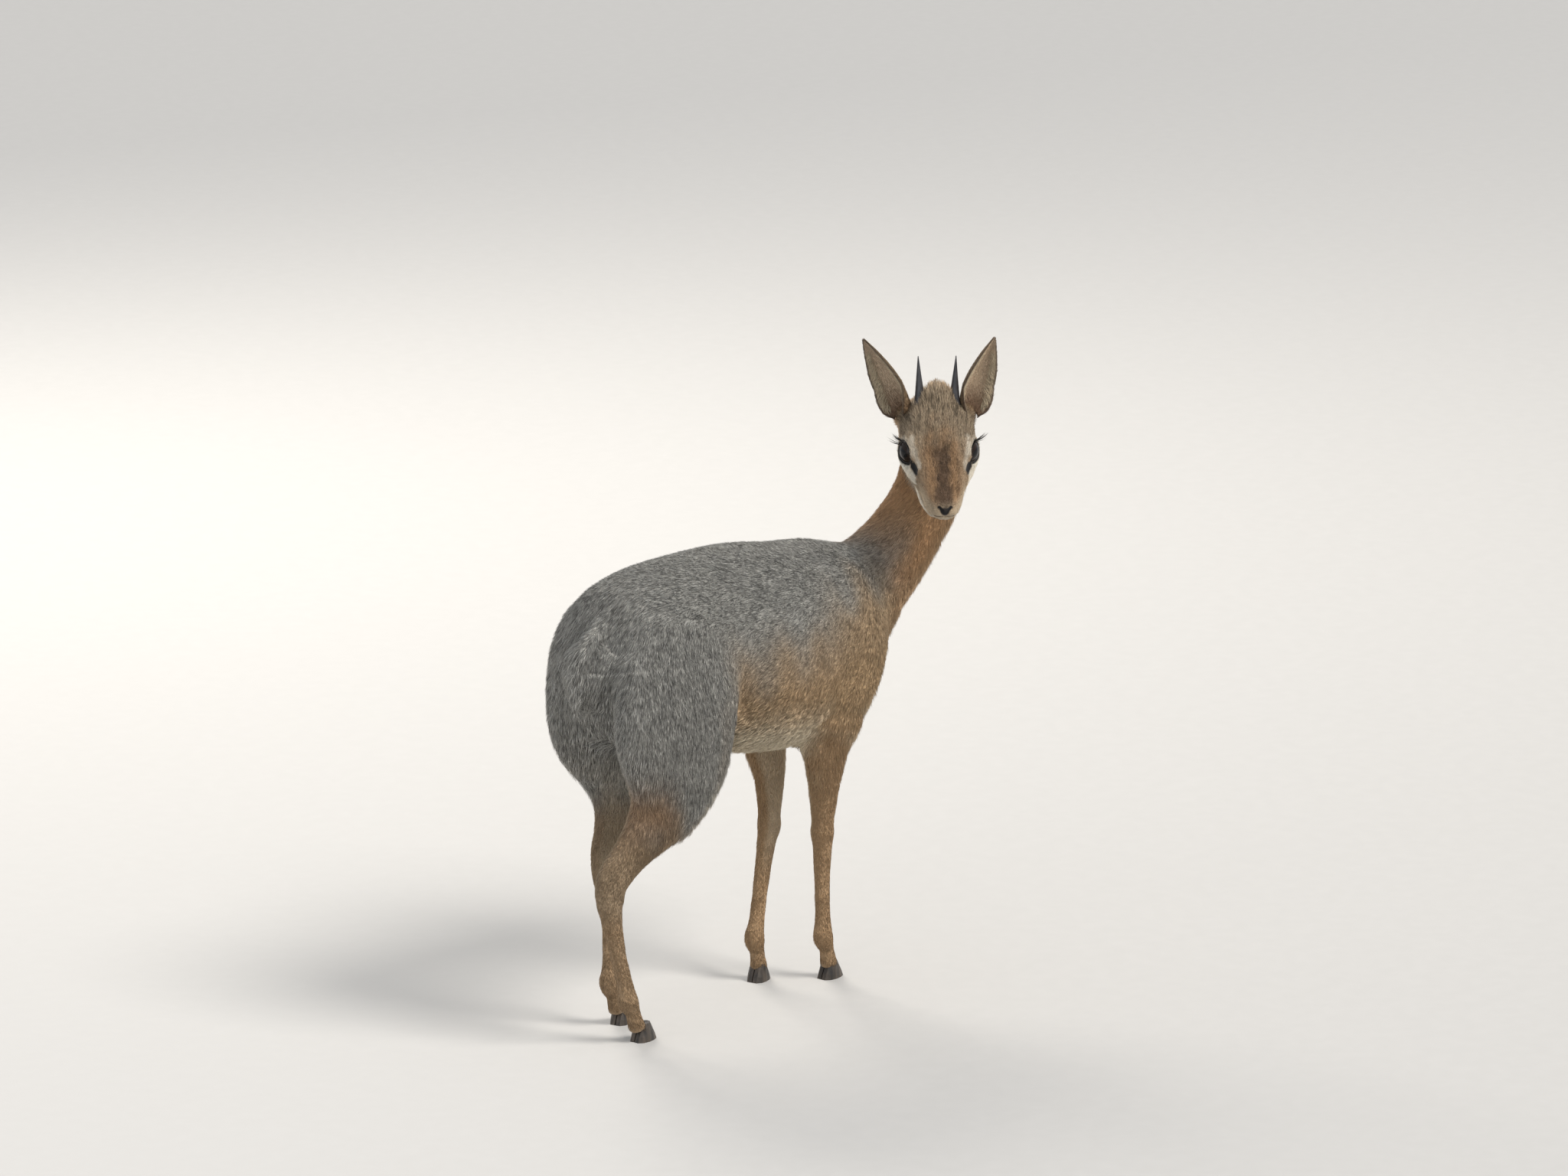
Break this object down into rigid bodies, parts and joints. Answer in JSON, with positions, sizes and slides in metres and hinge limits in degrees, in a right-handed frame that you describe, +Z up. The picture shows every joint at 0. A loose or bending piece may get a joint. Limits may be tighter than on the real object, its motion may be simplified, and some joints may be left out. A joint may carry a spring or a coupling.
{
  "type": "dik dik",
  "caption": "Small antelope standing still and looking back over its right shoulder, life size, with spike horns and cloven hooves.",
  "frame": {"origin": "on the ground under the middle of the animal's bounding box", "axes": "+X is the way the trunk faces, +Y is the animal's left, +Z is up"},
  "size_m": [0.4484, 0.2031, 0.5383],
  "materials": {
    "coat_grey": "dense hair, grizzled grey",
    "coat_tan": "dense hair, tan",
    "horn_dark": "horn, dull black",
    "eye_dark": "wet dark eye"
  },
  "bodies": {
    "root": {"trunk": "coat_grey", "tail": "coat_grey", "leg_hind_right": "coat_grey", "leg_hind_left": "coat_grey", "neck": "coat_tan", "head": "coat_tan", "leg_front_right": "coat_tan", "leg_front_left": "coat_tan", "ear_right": "coat_tan", "ear_left": "coat_tan", "horn_right": "horn_dark", "horn_left": "horn_dark", "hoof_front_right_inner": "horn_dark", "hoof_front_right_outer": "horn_dark", "hoof_front_left_inner": "horn_dark", "hoof_front_left_outer": "horn_dark", "hoof_hind_right_inner": "horn_dark", "hoof_hind_right_outer": "horn_dark", "hoof_hind_left_inner": "horn_dark", "hoof_hind_left_outer": "horn_dark", "eye_right": "eye_dark", "eye_left": "eye_dark"}
  },
  "joints": []
}
